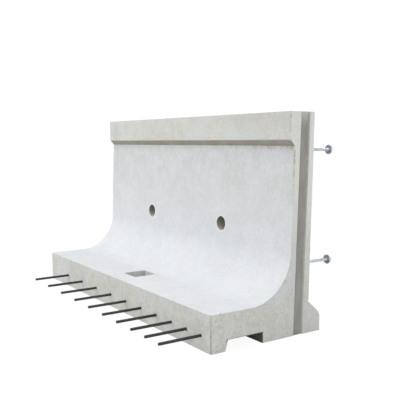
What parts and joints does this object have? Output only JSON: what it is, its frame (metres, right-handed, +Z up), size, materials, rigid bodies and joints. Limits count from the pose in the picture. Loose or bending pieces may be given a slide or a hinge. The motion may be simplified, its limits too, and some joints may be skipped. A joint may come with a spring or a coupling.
{
  "type": "precast concrete flume side unit",
  "caption": "L-shaped precast concrete flume half: floor slab on a toe foot and heel, leaning wall with coping, weep holes, starter bars at the toe, rods behind the wall.",
  "frame": {"origin": "on the ground, at the middle of the part's whole length and depth", "axes": "+X along the channel to the end on the right of someone facing the wall, +Y from the toe to the wall's back, +Z up"},
  "size_m": [2, 1.088, 1.125],
  "materials": {
    "concrete": "smooth cast concrete, pale grey, with small pores",
    "seal": "matt dark grey strip",
    "bar_steel": "dark mill scale",
    "galvanised": "bright zinc plate"
  },
  "bodies": {
    "root": {"concrete_unit": "concrete", "seal_strip_left": "seal", "seal_strip_right": "seal", "starter_bar_01": "bar_steel", "starter_bar_02": "bar_steel", "starter_bar_03": "bar_steel", "starter_bar_04": "bar_steel", "starter_bar_05": "bar_steel", "starter_bar_06": "bar_steel", "starter_bar_07": "bar_steel", "starter_bar_08": "bar_steel", "starter_bar_09": "bar_steel", "starter_bar_10": "bar_steel", "rear_rod_lower_left": "galvanised", "rear_rod_lower_right": "galvanised", "rear_rod_upper_left": "galvanised", "rear_rod_upper_right": "galvanised", "rear_washer_lower_left": "galvanised", "rear_washer_lower_right": "galvanised", "rear_washer_upper_left": "galvanised", "rear_washer_upper_right": "galvanised", "rear_nut_lower_left": "galvanised", "rear_nut_lower_right": "galvanised", "rear_nut_upper_left": "galvanised", "rear_nut_upper_right": "galvanised"}
  },
  "joints": []
}
